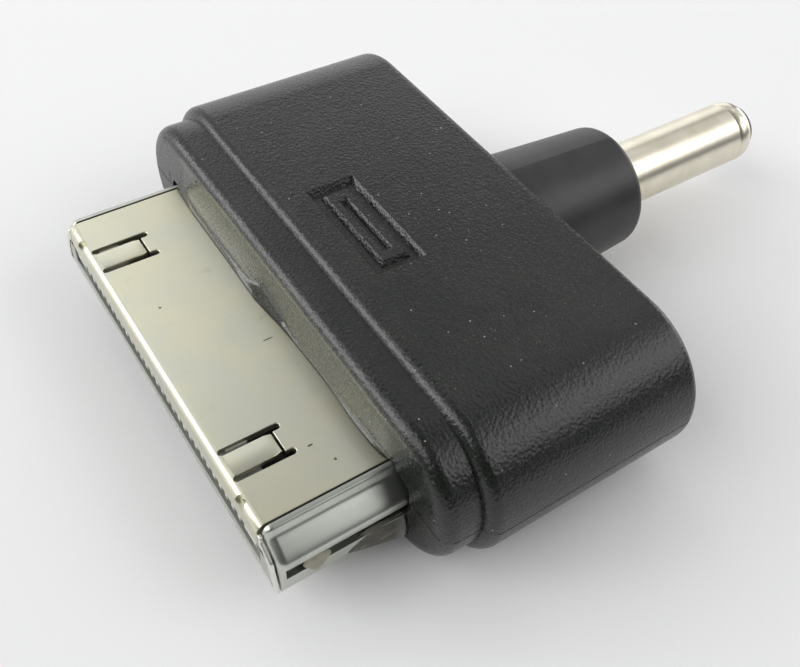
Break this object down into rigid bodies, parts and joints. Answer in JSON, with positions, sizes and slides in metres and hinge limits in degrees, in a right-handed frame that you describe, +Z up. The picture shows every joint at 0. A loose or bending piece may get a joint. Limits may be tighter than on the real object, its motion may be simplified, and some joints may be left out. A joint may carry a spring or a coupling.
{
  "type": "barrel-to-wide-plug charging tip",
  "caption": "Compact charging tip: a wide flat multi-contact plug with spring tabs at one end, a rounded black housing and a round barrel plug at the other.",
  "frame": {"origin": "middle of the object's length and width, on the flat underside of the housing", "axes": "+X along the wide plug, +Y from the wide plug to the barrel plug, +Z up through the marked face"},
  "size_m": [0.0284, 0.0368, 0.008],
  "materials": {
    "housing_black": "fine spark-eroded texture, faintly glossy, dusty",
    "boss_black": "smooth semi-gloss moulding",
    "plug_sheet": "satin nickel-plated sheet",
    "plug_frame": "satin nickel-plated sheet, rolled edges",
    "comb_grey": "pale moulded liquid-crystal polymer",
    "carrier_black": "moulded liquid-crystal polymer",
    "contact_gold": "gold flash over copper alloy",
    "board_green": "solder-masked glass epoxy",
    "solder": "bright tin solder",
    "chip_black": "chip resistor body",
    "capacitor_tan": "ceramic chip capacitor",
    "wire_red": "soft vinyl insulation",
    "wire_black": "soft vinyl insulation",
    "barrel_nickel": "turned, nickel plated",
    "bush_white": "turned insulating bush",
    "ring_black": "moulded insulating ring"
  },
  "bodies": {
    "housing": {"upper_housing": "housing_black", "lower_housing": "housing_black", "plug_top_shell": "plug_sheet", "plug_lower_shell": "plug_frame", "contact_comb": "comb_grey", "contact_carrier": "carrier_black", "ground_contacts": "contact_gold", "supply_contacts": "contact_gold", "data_contacts": "contact_gold", "circuit_board": "board_green", "contact_solder": "solder", "data_plus_pullup": "chip_black", "data_plus_pulldown": "chip_black", "data_minus_pullup": "chip_black", "data_minus_pulldown": "chip_black", "supply_capacitor": "capacitor_tan", "supply_wire": "wire_red", "ground_wire": "wire_black", "wire_solder": "solder", "boss_sleeve": "boss_black", "barrel_sleeve": "barrel_nickel", "barrel_bush": "bush_white", "centre_contact": "contact_gold", "tip_ring": "ring_black"},
    "left_tab": {"left_spring_tab": "plug_sheet"},
    "right_tab": {"right_spring_tab": "plug_sheet"}
  },
  "joints": [
    {"name": "left_tab_press", "type": "hinge", "parent": "housing", "child": "left_tab", "pos_m": [-0.00655, -0.01797, 0.00482], "axis": [-1, 0, 0], "range_deg": [0, 6], "stiffness_Nm_per_rad": 0.01},
    {"name": "right_tab_press", "type": "hinge", "parent": "housing", "child": "right_tab", "pos_m": [0.00655, -0.01797, 0.00482], "axis": [-1, 0, 0], "range_deg": [0, 6], "stiffness_Nm_per_rad": 0.01}
  ]
}
